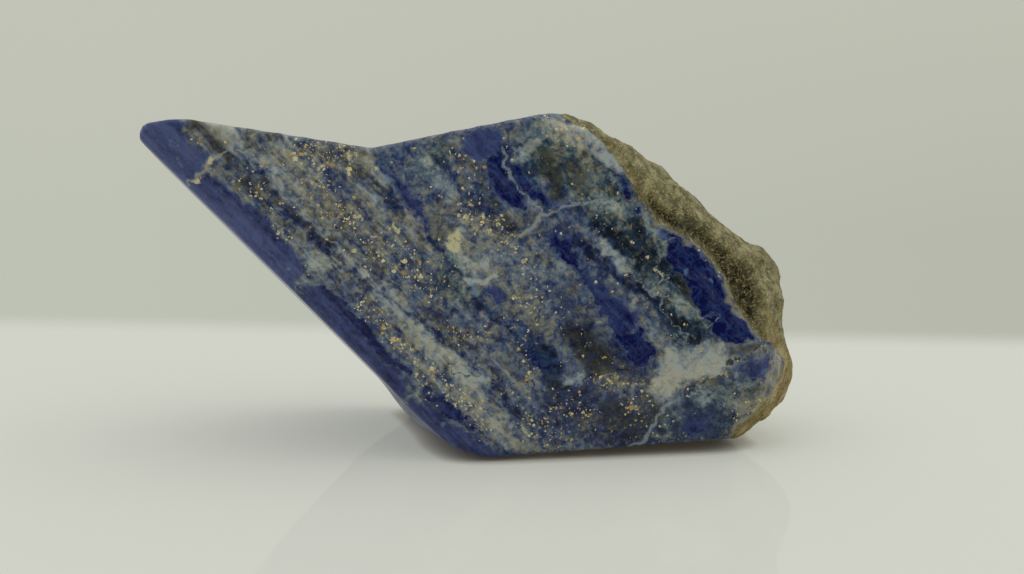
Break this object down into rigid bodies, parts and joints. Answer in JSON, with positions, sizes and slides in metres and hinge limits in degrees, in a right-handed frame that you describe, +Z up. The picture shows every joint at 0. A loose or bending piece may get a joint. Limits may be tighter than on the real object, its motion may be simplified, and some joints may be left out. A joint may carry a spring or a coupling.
{
  "type": "polished mineral freeform",
  "caption": "Thick slab of banded lapis lazuli standing on a flat sawn base, ground and polished, with a pointed overhanging wing on the left and rough natural rind on the right.",
  "frame": {"origin": "middle of the box round the stone, on the plane of the flat base", "axes": "+X from the pointed wing to the rind end, -Y out of the polished front, +Z up from the base"},
  "size_m": [0.1016, 0.0372, 0.0533],
  "materials": {
    "polished_lapis_lazuli": "polished on the front, left side, top and back, rough rind on the right end"
  },
  "bodies": {
    "root": {"lapis_stone": "polished_lapis_lazuli"}
  },
  "joints": []
}
